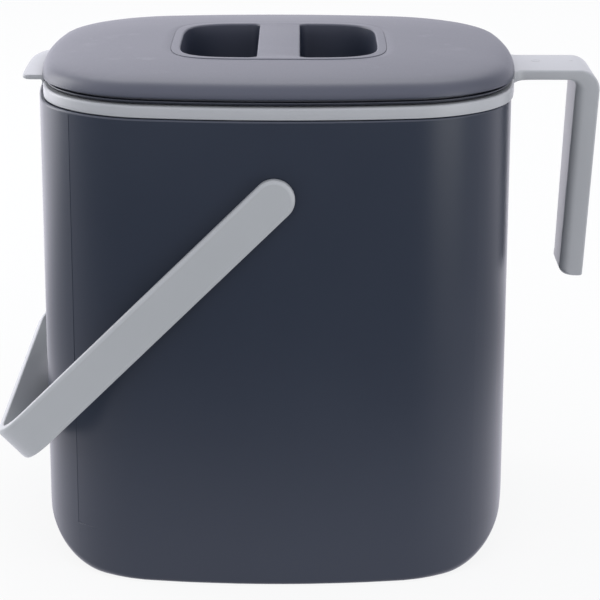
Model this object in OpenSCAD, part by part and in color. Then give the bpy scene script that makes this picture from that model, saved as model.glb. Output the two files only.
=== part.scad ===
// Compost caddy: a deep outer shell with a carrying handle, and an inner bucket that lifts
// out by its own side handle and is closed by a lift-off lid with a sunk grip.
// The origin is the middle of the base. +X points to the side handle, +Z is up.

/* [Shell] */
// Greatest width of the shell, side to side
shell_w = 218.8; // [195:0.2:245]
// Greatest depth of the shell, front to back
shell_d = 191.6; // [176:0.2:210]
// Height of the shell's lip above the counter
shell_h = 215.5; // [190:0.5:250]
// Radius of the upright corners
corner_r = 56; // [44:1:64]
// Radius of the slow bow of the front and the back
front_bow_r = 385; // [300:5:700]
// Radius of the slow bow of the two ends
side_bow_r = 300; // [240:5:600]
// Radius under the two ends, where they turn into the base
foot_r = 32; // [20:1:40]
// Wall thickness of the shell
shell_wall = 2.4; // [1.8:0.1:3]
// Thickness of the shell's floor
shell_floor = 3; // [2.4:0.1:5]

/* [Carrying handle] */
// How far the pivots lie below the shell's lip
pivot_drop = 34; // [29.5:0.5:50.5]
// Reach from the pivot axis to the outer face of the crossbar
bail_reach = 167.4; // [166:0.2:176]
// Width of the strap
strap_w = 18.4; // [14:0.2:19.4]
// Thickness of the strap
strap_t = 4.2; // [3:0.1:4.2]
// Outer radius where an arm turns into the crossbar
bail_corner_r = 19.5; // [10:0.5:30]
// Gap between an arm and the shell
arm_gap = 1.2; // [0.6:0.1:3]
// Gap left between the hanging handle's crossbar and the shell's end
rest_gap = 0.4; // [0.3:0.1:2]
// Radius of a pivot stud
stud_r = 5; // [3.5:0.1:6]
// Running clearance of a stud in its bore, on the radius
stud_clearance = 0.06; // [0.02:0.01:0.1]
// Radius of the boss round a pivot bore, inside the wall
boss_r = 10; // [8:0.5:12]
// How far the boss stands in from the wall
boss_t = 1.6; // [1:0.1:2]
// Radius of a pivot cap
cap_r = 8.5; // [7.5:0.1:9.5]
// Thickness of a pivot cap
cap_t = 2.6; // [2:0.1:2.8]
// Thickness of the closed end of a pivot cap
cap_end_t = 0.9; // [0.6:0.1:1.2]
// End play of a cap along the pivot axis
cap_play = 0.3; // [0.2:0.05:0.5]

/* [Bucket] */
// Gap between the bucket's wall and the pivot caps
bucket_gap = 0.7; // [0.5:0.1:3]
// Wall thickness of the bucket
bucket_wall = 1.8; // [1.4:0.1:2.4]
// Air under the bucket's floor
bucket_lift_gap = 3.6; // [2:0.1:8]
// Radius under the two ends of the bucket
bucket_foot_r = 30; // [20:1:38]
// Height of the locating collar below the rim band
collar_h = 15; // [8:0.5:16]
// Play of the collar inside the shell
collar_play = 1.9; // [1.7:0.1:2.4]
// How far the bucket sits over towards its handle within that play
bucket_shift = 1.4; // [0:0.1:1.4]
// Height of the rim band
band_h = 5.5; // [4:0.1:8]
// How far the rim band lies inside the shell's outline
band_inset = 0.3; // [0:0.1:1]
// Seating gap under the rim band
band_gap = 0.3; // [0.2:0.1:0.6]

/* [Side handle and lifting tab] */
// Width of the side handle's arm, front to back
hook_w = 41; // [30:1:60]
// Thickness of the arm
hook_arm_t = 4.6; // [3.6:0.1:6]
// How far the arm's top stands above the rim band
hook_rise = 2.7; // [2:0.1:4]
// Reach of the handle beyond the shell's end
hook_reach = 40.2; // [34:0.2:41]
// Thickness of the leg at its top
leg_t = 10.9; // [8:0.1:13]
// Drop of the leg's end below the arm's top
leg_drop = 99.5; // [70:0.5:110]
// How far the leg leans back towards the shell over its length
leg_lean = 4.5; // [0:0.5:7]
// Width of the leg at its lower end
leg_end_w = 31; // [24:1:42]
// Outer radius of the elbow between arm and leg
elbow_r = 9.5; // [5:0.5:12]
// Inner radius of the elbow
elbow_inner_r = 4; // [2:0.5:8]
// Width of the lifting tab, front to back
tab_w = 67; // [40:1:90]
// Thickness of the lifting tab
tab_t = 2; // [1.6:0.1:3]
// How far the tab's top stands above the rim band
tab_rise = 2.5; // [2.2:0.1:4]
// Reach of the tab beyond the shell's end
tab_reach = 8; // [5:0.5:14]
// Radius of the tab's two free corners
tab_corner_r = 6; // [3:0.5:8]

/* [Lid] */
// How far the lid's edge lies inside the shell's outline
lid_inset = 0.3; // [0:0.1:1.4]
// Seating gap between lid and rim band
lid_gap = 0.3; // [0.2:0.1:0.6]
// Thickness of the liner's plate, which shows as a dark step under the cover
liner_t = 3; // [2.4:0.1:4]
// How far the liner's edge lies inside the cover's edge
liner_step = 1.9; // [1:0.1:3]
// Gap between the liner's edge and the roots of the side handle and the tab
root_gap = 1.1; // [0.6:0.1:1.6]
// Height of the cover above the liner
cover_rise = 9.8; // [7:0.1:14]
// Part of that height that is the slow bow of the top and not the round edge
crown_bow = 3.2; // [1:0.1:4.2]
// Wall thickness of the cover
cover_wall = 2.2; // [1.6:0.1:2.8]
// Exponent of the round edge: the greater, the tighter the round
edge_power = 36; // [20:1:60]
// Thickness of the skirt that plugs the bucket's mouth
skirt_t = 2.8; // [2.2:0.1:3.4]
// Depth of the skirt
skirt_h = 11; // [8:0.5:14]
// Clearance of the skirt inside the mouth
skirt_play = 0.7; // [0.5:0.1:1.2]
// Height of the seal ring
seal_h = 3.2; // [2:0.1:5]
// How deep the seal sits in the skirt
seal_seat = 1.2; // [0.8:0.1:1.6]
// How far the seal stands out of the skirt
seal_proud = 0.45; // [0.2:0.05:0.45]

/* [Grip] */
// Width of the hollow for the fingers, both ways
pocket_w = 92.5; // [80:0.5:104]
// Exponent of the hollow's rounded square outline
pocket_power = 4.6; // [3:0.1:8]
// Width of the flange round the hollow
flange_w = 3.2; // [2.4:0.1:6]
// Thickness of the flange
flange_t = 1.2; // [0.8:0.1:1.6]
// Width of the bar to hold
bar_w = 19.4; // [14:0.2:28]
// Depth of the hollow
pocket_depth = 25; // [18:0.5:32]
// Wall thickness of the hollow
pocket_wall = 1.6; // [1.2:0.1:2.4]
// Gap between the hollow and the parts it passes through
pocket_fit = 0.3; // [0.2:0.1:0.8]

/* [Hidden] */

// Colours as the photograph shows them
slate = [0.20, 0.22, 0.27];
light_grey = [0.66, 0.68, 0.71];
seal_grey = [0.45, 0.46, 0.48];

// Overlap of cutting solids beyond what they cut
cut = 1;
// Segments of round parts
round_fn = 96;

// The plan outline: two slow bows each way, joined by corner arcs tangent to both
half_w = shell_w / 2;
half_d = shell_d / 2;
side_c = [half_w - side_bow_r, 0];
front_c = [0, half_d - front_bow_r];
side_k = side_bow_r - corner_r;
front_k = front_bow_r - corner_r;
bow_gap = norm(front_c - side_c);
bow_u = (front_c - side_c) / bow_gap;
bow_t = (side_k * side_k - front_k * front_k + bow_gap * bow_gap) / (2 * bow_gap);
bow_h = sqrt(side_k * side_k - bow_t * bow_t);
corner_c = side_c + bow_t * bow_u + bow_h * [-bow_u.y, bow_u.x];
side_a = atan2(corner_c.y, corner_c.x - side_c.x);
front_a = atan2(corner_c.y - front_c.y, corner_c.x);
side_steps = 4;
corner_steps = 14;
front_steps = 6;

// Pivots and the space that the caps take inside the shell
pivot_z = shell_h - pivot_drop;
arm_inner_y = half_d + arm_gap;
arm_outer_y = arm_inner_y + strap_t;
boss_face_y = half_d - shell_wall - boss_t;
cap_outer_y = boss_face_y - cap_play;
cap_inner_y = cap_outer_y - cap_t;

// The handle hangs until the crossbar's inner lower edge meets the shell's end
edge_reach = bail_reach - strap_t;
bail_hang = acos((half_w + rest_gap) / norm([edge_reach, strap_w / 2]))
    - atan2(strap_w / 2, edge_reach);

// Bucket: insets from the shell's outline, and heights
bucket_inset = half_d - cap_inner_y + bucket_gap;
collar_inset = shell_wall + collar_play;
mouth_inset = collar_inset + bucket_wall;
band_z = shell_h + band_gap;
rim_z = band_z + band_h;
collar_z = band_z - collar_h;
bucket_z = shell_floor + bucket_lift_gap;

// Lid
plate_z = rim_z + lid_gap;
cover_z = plate_z + liner_t;
crown_z = cover_z + cover_rise;
skirt_inset = mouth_inset + skirt_play;
seal_z = plate_z - skirt_h / 2 - seal_h / 2;
pocket_floor_z = crown_z - pocket_depth;

// Side handle and tab, in the bucket's own frame
hook_top = rim_z + hook_rise;
hook_x = half_w + hook_reach - bucket_shift;
tab_top = rim_z + tab_rise;
tab_x = half_w + tab_reach;
// Inner face of the handle's and tab's roots, just outside the liner's edge
root_x = half_w - lid_inset - liner_step + root_gap;
root_depth = 4;

// Points of an arc about c from angle a0 to a1 in n steps
function arc(c, r, a0, a1, n) =
    [for (i = [0 : n]) let (a = a0 + (a1 - a0) * i / n) c + r * [cos(a), sin(a)]];

// A list without its first entry
function tail(v) = [for (i = [1 : len(v) - 1]) v[i]];

// One quarter of the outline, from the middle of an end to the middle of the front
function plan_quarter(inset) = concat(
    arc(side_c, side_bow_r - inset, 0, side_a, side_steps),
    tail(arc(corner_c, corner_r - inset, side_a, front_a, corner_steps)),
    tail(arc(front_c, front_bow_r - inset, front_a, 90, front_steps)));

// The whole outline, from one quarter mirrored over both axes
function mirrored(q) =
    let (h = concat(q, [for (i = [len(q) - 2 : -1 : 0]) [-q[i].x, q[i].y]]))
    concat(h, [for (i = [len(h) - 2 : -1 : 1]) [h[i].x, -h[i].y]]);
function plan(inset) = mirrored(plan_quarter(inset));

// A rounded square of full width w, as a superellipse
pocket_steps = 18;
function rounded_square(w) = mirrored([for (i = [0 : pocket_steps]) let (a = 90 * i / pocket_steps)
    w / 2 * [pow(cos(a), 2 / pocket_power), pow(sin(a), 2 / pocket_power)]]);

// Upright slab of the plan outline
module slab(inset, z0, z1) {
    translate([0, 0, z0]) linear_extrude(z1 - z0) polygon(plan(inset));
}

// The same slab with its two ends turned under by radius r at the bottom
module round_ended(inset, z0, z1, r) {
    hw = half_w - inset;
    intersection() {
        slab(inset, z0, z1);
        rotate([90, 0, 0]) linear_extrude(2 * shell_d, center = true)
            polygon(concat(
                arc([hw - r, z0 + r], r, -90, 0, 12), [[hw, z1 + cut], [-hw, z1 + cut]],
                arc([r - hw, z0 + r], r, 180, 270, 12)));
    }
}

// A round bar along Y from y0 to y1 at the pivots' place
module pivot_rod(r, y0, y1) {
    translate([0, y1, pivot_z]) rotate([90, 0, 0]) cylinder(r = r, h = y1 - y0, $fn = round_fn);
}

// Front and rear copies of what stands on one side
module both_sides() {
    children();
    mirror([0, 1, 0]) children();
}

// Dome over the outline: a tight round edge under a slow bow, rho being 1 at the edge
bow_power = 4;
dome_rho = [1, 0.9985, 0.994, 0.987, 0.977, 0.963, 0.942, 0.91, 0.86, 0.78, 0.67, 0.54, 0.4];
function dome_height(rho, rise) =
    (rise - crown_bow) * sqrt(1 - pow(rho, edge_power)) + crown_bow * (1 - pow(rho, bow_power));
module dome(inset, base_z, rise) {
    ring = plan(inset);
    n = len(ring);
    rings = concat([[1, -cut]], [for (k = dome_rho) [k, dome_height(k, rise)]]);
    points = [for (r = rings) for (p = ring) [p.x * r[0], p.y * r[0], base_z + r[1]]];
    last = (len(rings) - 1) * n;
    polyhedron(points, concat(
        [[for (i = [0 : n - 1]) i]],
        [for (k = [0 : len(rings) - 2]) for (i = [0 : n - 1])
            let (j = (i + 1) % n, a = k * n) [a + i, a + n + i, a + n + j, a + j]],
        [[for (i = [n - 1 : -1 : 0]) last + i]]));
}

module outer_shell() {
    bore_r = stud_r + stud_clearance;
    color(slate) difference() {
        union() {
            difference() {
                round_ended(0, 0, shell_h, foot_r);
                round_ended(shell_wall, shell_floor, shell_h + cut, foot_r - shell_wall);
            }
            both_sides() pivot_rod(boss_r, boss_face_y, half_d - shell_wall / 2);
        }
        both_sides() pivot_rod(bore_r, boss_face_y - cut, half_d + cut);
    }
}

// Outline of the strap seen along its width, x away from the pivot axis
function strap_line(off) = let (r = bail_corner_r - off, x = bail_reach - bail_corner_r,
    y = arm_outer_y - bail_corner_r) concat(
        [[-strap_w - off, -arm_outer_y + off]], arc([x, -y], r, -90, 0, 10),
        arc([x, y], r, 0, 90, 10), [[-strap_w - off, arm_outer_y - off]]);

// The strap along +X from the pivot axis, with round ends on its arms
module strap() {
    intersection() {
        linear_extrude(2 * strap_w, center = true) difference() {
            polygon(strap_line(0));
            polygon(strap_line(strap_t));
        }
        rotate([90, 0, 0]) linear_extrude(4 * half_d, center = true) polygon(concat(
            arc([0, 0], strap_w / 2, 90, 270, 18),
            [[bail_reach + cut, -strap_w / 2], [bail_reach + cut, strap_w / 2]]));
    }
}

module bail_handle() {
    color(light_grey) {
        translate([0, 0, pivot_z]) rotate([0, 180 - bail_hang, 0]) strap();
        both_sides() pivot_rod(stud_r, cap_inner_y + cap_end_t, arm_inner_y + strap_t / 2);
    }
}

// Cap pressed on a stud's end inside the wall, which keeps the stud in its bore
module pivot_cap() {
    color(slate) difference() {
        pivot_rod(cap_r, cap_inner_y, cap_outer_y);
        pivot_rod(stud_r, cap_inner_y + cap_end_t, cap_outer_y + cut);
    }
}

module pivot_cap_front() {
    mirror([0, 1, 0]) pivot_cap();
}

module pivot_cap_rear() {
    pivot_cap();
}

// Section of the side handle: arm, elbow and leaning leg, in the bucket's own frame
module hook_section() {
    leg_inner = hook_x - leg_t;
    end_z = hook_top - leg_drop;
    arm_low = hook_top - hook_arm_t;
    polygon(concat(
        [[half_w - root_depth, arm_low], [half_w - root_depth, rim_z - cut], [root_x, rim_z - cut],
            [root_x, hook_top]],
        arc([hook_x - elbow_r, hook_top - elbow_r], elbow_r, 90, 0, 8),
        [[hook_x - leg_lean, end_z], [leg_inner - leg_lean, end_z]],
        arc([leg_inner - elbow_inner_r, arm_low - elbow_inner_r], elbow_inner_r, 0, 90, 6)));
}

// Side handle, set on the outer face and the top edge of the rim band
module side_handle() {
    color(light_grey) translate([bucket_shift, 0, 0]) difference() {
        intersection() {
            rotate([90, 0, 0]) linear_extrude(hook_w, center = true) hook_section();
            rotate([90, 0, 90]) linear_extrude(2 * hook_x) polygon([
                [-hook_w / 2, hook_top], [hook_w / 2, hook_top],
                [leg_end_w / 2, hook_top - leg_drop], [-leg_end_w / 2, hook_top - leg_drop]]);
        }
        slab(band_inset, band_z, rim_z);
    }
}

// Section of the lifting tab: a thin lip with a fillet-like root down to the band
module tab_section() {
    polygon([[half_w - root_depth, rim_z - band_h / 2], [half_w - root_depth, rim_z - cut],
        [root_x, rim_z - cut], [root_x, tab_top], [tab_x, tab_top], [tab_x, tab_top - tab_t],
        [half_w + tab_t, tab_top - tab_t], [half_w, rim_z - band_h / 2]]);
}

module lifting_tab() {
    intersection() {
        mirror([1, 0, 0]) rotate([90, 0, 0]) linear_extrude(tab_w, center = true) tab_section();
        mirror([1, 0, 0]) translate([0, 0, band_z]) linear_extrude(tab_top)
            polygon(concat(
                [[half_w - 2 * root_depth, -tab_w / 2]],
                arc([tab_x - tab_corner_r, tab_corner_r - tab_w / 2], tab_corner_r, -90, 0, 6),
                arc([tab_x - tab_corner_r, tab_w / 2 - tab_corner_r], tab_corner_r, 0, 90, 6),
                [[half_w - 2 * root_depth, tab_w / 2]]));
    }
}

module inner_bucket() {
    color(light_grey) translate([bucket_shift, 0, 0]) difference() {
        round_ended(bucket_inset, bucket_z, collar_z, bucket_foot_r);
        round_ended(bucket_inset + bucket_wall, bucket_z + bucket_wall, collar_z + cut,
            bucket_foot_r - bucket_wall);
    }
}

// Top of the bucket: the step out to the locating collar, the collar, the rim band and the tab
module bucket_rim() {
    color(light_grey) translate([bucket_shift, 0, 0]) difference() {
        union() {
            slab(collar_inset, collar_z, band_z);
            slab(band_inset, band_z, rim_z);
            lifting_tab();
        }
        slab(bucket_inset + bucket_wall, collar_z - cut, rim_z);
        slab(mouth_inset, collar_z + bucket_wall, rim_z + cut);
    }
}

module lid_cover() {
    hole_w = pocket_w + 2 * (pocket_wall + pocket_fit);
    flange_hole_w = pocket_w + 2 * (flange_w + pocket_fit);
    color(slate) translate([bucket_shift, 0, 0]) difference() {
        intersection() {
            dome(lid_inset, cover_z, cover_rise);
            slab(0, cover_z, crown_z + cut);
        }
        dome(lid_inset + cover_wall, cover_z, cover_rise - cover_wall);
        translate([0, 0, cover_z]) linear_extrude(2 * cover_rise) polygon(rounded_square(hole_w));
        translate([0, 0, crown_z - flange_t]) linear_extrude(2 * flange_t)
            polygon(rounded_square(flange_hole_w));
    }
}

module lid_liner() {
    hole_w = pocket_w + 2 * (pocket_wall + pocket_fit);
    color(slate) translate([bucket_shift, 0, 0]) difference() {
        slab(lid_inset + liner_step, plate_z, cover_z);
        translate([0, 0, plate_z - cut]) linear_extrude(liner_t + 2 * cut)
            polygon(rounded_square(hole_w));
    }
}

// Skirt under the liner that plugs the bucket's mouth, with the groove for the seal
module lid_skirt() {
    color(slate) translate([bucket_shift, 0, 0]) difference() {
        slab(skirt_inset, plate_z - skirt_h, plate_z);
        slab(skirt_inset + skirt_t, plate_z - skirt_h - cut, plate_z + cut);
        difference() {
            slab(skirt_inset - cut, seal_z, seal_z + seal_h);
            slab(skirt_inset + seal_seat, seal_z - cut, seal_z + seal_h + cut);
        }
    }
}

module lid_seal() {
    color(seal_grey) translate([bucket_shift, 0, 0]) difference() {
        slab(skirt_inset - seal_proud, seal_z, seal_z + seal_h);
        slab(skirt_inset + seal_seat, seal_z - cut, seal_z + seal_h + cut);
    }
}

// Two finger hollows with the bar to hold between them, open under the bar
module grip_insert() {
    bar_half = bar_w / 2;
    bar_hollow = bar_w - 2 * pocket_wall;
    outer_w = pocket_w + 2 * pocket_wall;
    color(slate) translate([bucket_shift, 0, 0]) difference() {
        union() {
            translate([0, 0, pocket_floor_z - pocket_wall])
                linear_extrude(pocket_depth + pocket_wall) polygon(rounded_square(outer_w));
            translate([0, 0, crown_z - flange_t])
                linear_extrude(flange_t) polygon(rounded_square(pocket_w + 2 * flange_w));
        }
        for (side = [0, 1]) mirror([side, 0, 0])
            translate([0, 0, pocket_floor_z]) linear_extrude(pocket_depth + cut)
                intersection() {
                    polygon(rounded_square(pocket_w));
                    translate([bar_half, -pocket_w]) square([pocket_w, 2 * pocket_w]);
                }
        translate([-bar_hollow / 2, -pocket_w / 2, pocket_floor_z - pocket_wall - cut])
            cube([bar_hollow, pocket_w, pocket_depth + cut]);
    }
}

outer_shell();
bail_handle();
pivot_cap_front();
pivot_cap_rear();
inner_bucket();
bucket_rim();
side_handle();
lid_cover();
lid_liner();
lid_skirt();
lid_seal();
grip_insert();
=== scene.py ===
# Compost caddy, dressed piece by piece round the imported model.
# Sizes in the dictionaries are in millimetres and degrees; meshes are written in metres.
import math

import bmesh
import bpy
from mathutils import Matrix, Vector


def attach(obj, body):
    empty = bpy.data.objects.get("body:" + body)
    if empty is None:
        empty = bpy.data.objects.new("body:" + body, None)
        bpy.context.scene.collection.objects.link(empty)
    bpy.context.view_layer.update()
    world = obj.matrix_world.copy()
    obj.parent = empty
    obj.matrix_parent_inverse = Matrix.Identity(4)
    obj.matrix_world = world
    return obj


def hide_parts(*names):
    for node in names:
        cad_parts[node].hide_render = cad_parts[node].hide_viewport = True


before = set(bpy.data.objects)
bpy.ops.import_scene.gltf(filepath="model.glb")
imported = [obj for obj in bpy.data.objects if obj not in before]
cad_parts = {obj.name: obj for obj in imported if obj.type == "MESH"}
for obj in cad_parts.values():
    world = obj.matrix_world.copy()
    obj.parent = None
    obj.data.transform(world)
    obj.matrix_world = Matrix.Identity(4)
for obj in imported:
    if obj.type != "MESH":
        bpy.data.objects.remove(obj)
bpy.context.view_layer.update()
mm = 0.001
quarterTurn = math.pi / 2


class Wire:  # a node socket that can stand in a Python expression
    def __init__(self, tree, socket=None):
        self.tree = tree
        self.socket = socket

    def node(self, kind, settings=None, inputs=None, output=0):
        made = self.tree.nodes.new(kind)
        for key, value in (settings or {}).items():
            setattr(made, key, value)
        for key, value in (inputs or {}).items():
            if isinstance(value, Wire):
                value.feed(made, key)
            else:
                made.inputs[key].default_value = value
        return Wire(self.tree, made.outputs[output] if made.outputs else None)

    def feed(self, node, key):  # links this socket to an input of another node
        self.tree.links.new(self.socket, node.inputs[key])

    def other(self, output):  # another output of the same node
        return Wire(self.tree, self.socket.node.outputs[output])

    def math(self, operation, *values):
        return self.node("ShaderNodeMath", {"operation": operation}, dict(enumerate(values)))

    def __add__(self, value):
        return self.math("ADD", self, value)

    def __radd__(self, value):
        return self.math("ADD", value, self)

    def __sub__(self, value):
        return self.math("SUBTRACT", self, value)

    def __rsub__(self, value):
        return self.math("SUBTRACT", value, self)

    def __mul__(self, value):
        return self.math("MULTIPLY", self, value)

    def __rmul__(self, value):
        return self.math("MULTIPLY", value, self)

    def __truediv__(self, value):
        return self.math("DIVIDE", self, value)

    def __rtruediv__(self, value):
        return self.math("DIVIDE", value, self)

    def __pow__(self, value):
        return self.math("POWER", self, value)

    def __neg__(self):
        return self.math("MULTIPLY", self, -1.0)

    def least(self, value):
        return self.math("MINIMUM", self, value)

    def most(self, value):
        return self.math("MAXIMUM", self, value)

    def ease(self, low, high):  # 0 below low, 1 above high, smooth between
        return self.node("ShaderNodeMapRange", {"interpolation_type": "SMOOTHSTEP"},
                         {"Value": self, "From Min": low, "From Max": high})


# outline: every ring of the shell, the bucket and the lid has one point per column
plan = {
    "width": 218.8,
    "depth": 191.6,
    "cornerRadius": 56.0,
    "frontBow": 385.0,
    "sideBow": 300.0,
    "sideSteps": 7,
    "cornerSteps": 26,
    "frontSteps": 14,
    "lineFromMiddle": 90.5,  # the mould's parting line, on the two left corners
    "lineHalfWidth": 0.22,
    "bucketShift": 1.4,  # the bucket and its lid sit over towards the side handle
}
shift = plan["bucketShift"]


def quarterColumns():
    # (centre, radius, angle, on the parting line) from the right side round to the rear
    halfWidth, halfDepth = plan["width"] / 2, plan["depth"] / 2
    corner = plan["cornerRadius"]
    side = Vector((halfWidth - plan["sideBow"], 0))
    front = Vector((0, halfDepth - plan["frontBow"]))
    sideReach, frontReach = plan["sideBow"] - corner, plan["frontBow"] - corner
    gap = (front - side).length
    along = (front - side) / gap
    run = (sideReach ** 2 - frontReach ** 2 + gap ** 2) / (2 * gap)
    rise = math.sqrt(sideReach ** 2 - run ** 2)
    middle = side + run * along + rise * Vector((-along.y, along.x))
    sideAngle = math.atan2(middle.y - side.y, middle.x - side.x)
    frontAngle = math.atan2(middle.y - front.y, middle.x - front.x)
    lineAngle = math.acos((plan["lineFromMiddle"] - middle.x) / corner)
    nudge = plan["lineHalfWidth"] / corner
    found = [(side, plan["sideBow"], sideAngle * k / plan["sideSteps"], 0)
             for k in range(plan["sideSteps"])]
    angles = [(sideAngle + (frontAngle - sideAngle) * k / plan["cornerSteps"], 0)
              for k in range(plan["cornerSteps"])]
    angles = [(angle, 0) for angle, _ in angles if abs(angle - lineAngle) > 3 * nudge]
    angles += [(lineAngle - nudge, 0), (lineAngle, 1), (lineAngle + nudge, 0)]
    found += [(middle, corner, angle, mark) for angle, mark in sorted(angles)]
    for k in range(plan["frontSteps"] + 1):
        angle = frontAngle + (quarterTurn - frontAngle) * k / plan["frontSteps"]
        found.append((front, plan["frontBow"], angle, 0))
    return found


def allColumns():
    # (x, y, radius, normal's x and y, mark), where mark is 2 on the left parting lines
    quarter = [(c.x, c.y, r, math.cos(a), math.sin(a), mark) for c, r, a, mark in quarterColumns()]
    half = quarter + [(-x, y, r, -nx, ny, 2 * mark) for x, y, r, nx, ny, mark in quarter[-2::-1]]
    return half + [(x, -y, r, nx, -ny, mark) for x, y, r, nx, ny, mark in half[-2:0:-1]]


columns = allColumns()


def planPoint(column, inset):
    x, y, radius, nx, ny, _ = column
    return x + (radius - inset) * nx, y + (radius - inset) * ny


def outlineRing(inset, height, across=0.0):
    spots = [planPoint(column, inset) for column in columns]
    return [(x + across, y, height) for x, y in spots]


def roundedPath(corners, steps=4, closed=False):
    # corners are (across, up, radius); each corner is swapped for an arc of its radius
    path = []
    count = len(corners)
    for k, (x, y, radius) in enumerate(corners):
        here = Vector((x, y))
        if radius <= 0 or (not closed and k in (0, count - 1)):
            path.append(here)
            continue
        before = (Vector(corners[k - 1][:2]) - here).normalized()
        after = (Vector(corners[(k + 1) % count][:2]) - here).normalized()
        opening = before.angle(after)
        reach = radius / math.tan(opening / 2)
        centre = here + (before + after).normalized() * radius / math.sin(opening / 2)
        start, end = here + before * reach - centre, here + after * reach - centre
        turn = math.pi - opening
        for step in range(steps + 1):
            share = step / steps
            path.append(centre + (start * math.sin((1 - share) * turn)
                                  + end * math.sin(share * turn)) / math.sin(turn))
    return path


# mesh helpers
weld = {"mergeWithin": 2e-6, "collapseUnder": 1e-6}
softCrease, plainCrease = 32, 30


def finishMesh(mesh, crease=softCrease):
    work = bmesh.new()
    work.from_mesh(mesh)
    bmesh.ops.remove_doubles(work, verts=work.verts, dist=weld["mergeWithin"])
    bmesh.ops.dissolve_degenerate(work, edges=work.edges, dist=weld["collapseUnder"])
    bmesh.ops.recalc_face_normals(work, faces=work.faces)
    work.to_mesh(mesh)
    work.free()
    mesh.shade_smooth()
    mesh.set_sharp_from_angle(angle=math.radians(crease))
    mesh.update()


def addObject(name, data):
    made = bpy.data.objects.new(name, data)
    bpy.context.scene.collection.objects.link(made)
    return made


def addMesh(name, points, faces, edges=(), scale=mm):
    mesh = bpy.data.meshes.new(name)
    mesh.from_pydata([Vector(p) * scale for p in points], edges, faces)
    return addObject(name, mesh)


def newPiece(name, points, faces, crease=softCrease):
    piece = addMesh(name, points, faces)
    finishMesh(piece.data, crease)
    return piece


def wallFaces(ringCount, count, cyclic=False):
    # the faces between each ring and the next, and from the last to the first where cyclic
    faces = []
    for r in range(ringCount if cyclic else ringCount - 1):
        a, b = r * count, (r + 1) % ringCount * count
        for k in range(count):
            n = (k + 1) % count
            faces.append((a + k, a + n, b + n, b + k))
    return faces


def loft(name, rings, startPole=None, endPole=None, cyclic=False, crease=softCrease):
    count = len(rings[0])
    points = [p for ring in rings for p in ring]
    faces = wallFaces(len(rings), count, cyclic)
    for pole, base in ((startPole, 0), (endPole, (len(rings) - 1) * count)):
        if pole is not None:
            points.append(pole)
            faces += [(len(points) - 1, base + k, base + (k + 1) % count) for k in range(count)]
    return newPiece(name, points, faces, crease)


def capped(name, rings, crease=softCrease):  # a loft whose two ends are closed by flat faces
    count = len(rings[0])
    points = [p for ring in rings for p in ring]
    ends = [tuple(range(count)), tuple(range(len(points) - count, len(points)))]
    return newPiece(name, points, ends + wallFaces(len(rings), count), crease)


def turned(name, profile, axisHeight, steps=96, flip=1, crease=softCrease):
    # profile of (radius, y), turned round an axis along Y at x 0 and the given height
    turns = [math.tau * k / steps for k in range(steps)]
    rings = [[(radius * math.cos(turn), flip * along, axisHeight + radius * math.sin(turn))
              for turn in turns] for radius, along in profile]
    return capped(name, rings, crease)


def makePlain(piece, crease=softCrease):  # puts the modifiers' result into the piece's mesh
    bpy.context.view_layer.update()
    shown = piece.evaluated_get(bpy.context.evaluated_depsgraph_get())
    mesh = bpy.data.meshes.new_from_object(shown)
    piece.modifiers.clear()
    piece.data = mesh
    finishMesh(mesh, crease)
    return piece


def carve(piece, tools, operation, crease=softCrease):
    for tool in tools:
        cut = piece.modifiers.new("cut", "BOOLEAN")
        cut.operation = operation
        cut.solver = "EXACT"
        cut.object = tool
    makePlain(piece, crease)
    for tool in tools:
        bpy.data.objects.remove(tool)
    return piece


def joined(piece, others):  # adds the other pieces' closed meshes to this one
    work = bmesh.new()
    work.from_mesh(piece.data)
    for other in others:
        work.from_mesh(other.data)
    work.to_mesh(piece.data)
    work.free()
    for other in others:
        bpy.data.objects.remove(other)
    return piece


def settle(piece, body, nodes, material):
    piece.data.materials.clear()
    piece.data.materials.append(material)
    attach(piece, body)
    if nodes:
        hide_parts(*nodes)
    print("caddy:", piece.name, len(piece.data.polygons), "faces")
    return piece


# Geometry Nodes helpers
def newTree(name, inputs):
    # an empty tree with a geometry in and out, the named inputs and a material
    tree = bpy.data.node_groups.new(name, "GeometryNodeTree")
    sockets = [("Geometry", "Geometry"), *inputs, ("Material", "Material")]
    for label, kind in sockets:
        tree.interface.new_socket(label, in_out="INPUT", socket_type="NodeSocket" + kind)
    tree.interface.new_socket("Geometry", in_out="OUTPUT", socket_type="NodeSocketGeometry")
    return Wire(tree).node("NodeGroupInput")


def splitPosition(given):  # x, y and z of each point
    parts = given.node("ShaderNodeSeparateXYZ", inputs={
        0: given.node("GeometryNodeInputPosition")})
    return parts, parts.other(1), parts.other(2)


def movedTo(given, x, y, z):
    place = given.node("ShaderNodeCombineXYZ", inputs={0: x, 1: y, 2: z})
    return given.node("GeometryNodeSetPosition", inputs={"Geometry": given, "Position": place})


def endTree(given, result):
    real = given.node("GeometryNodeRealizeInstances", inputs={0: result})
    coated = given.node("GeometryNodeSetMaterial", inputs={
        "Geometry": real, "Material": given.other("Material")})
    given.node("NodeGroupOutput", inputs={0: coated})
    return given.tree


def addTree(piece, tree, values):
    modifier = piece.modifiers.new(tree.name, "NODES")
    modifier.node_group = tree
    sockets = {item.name: item.identifier for item in tree.interface.items_tree
               if item.in_out == "INPUT"}
    for name, value in values.items():
        modifier[sockets[name]] = value


# the foot that the shell and the bucket share in form
foot = {
    "blendSteps": 9,  # rings round the edge at the wall's lower end
    "underSteps": 13,  # rings under each turned end
    "growthPower": 1.6,
    "leastReach": 1.2,
    "walkStep": 0.002,
    "lookAhead": 0.01,
    "longestPull": 0.9,
    "leastNormal": 0.2,
    "underStep": 0.5,
    "towardsMiddle": (0.94, 0.86, 0.74, 0.6, 0.42, 0.22),
}


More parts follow.
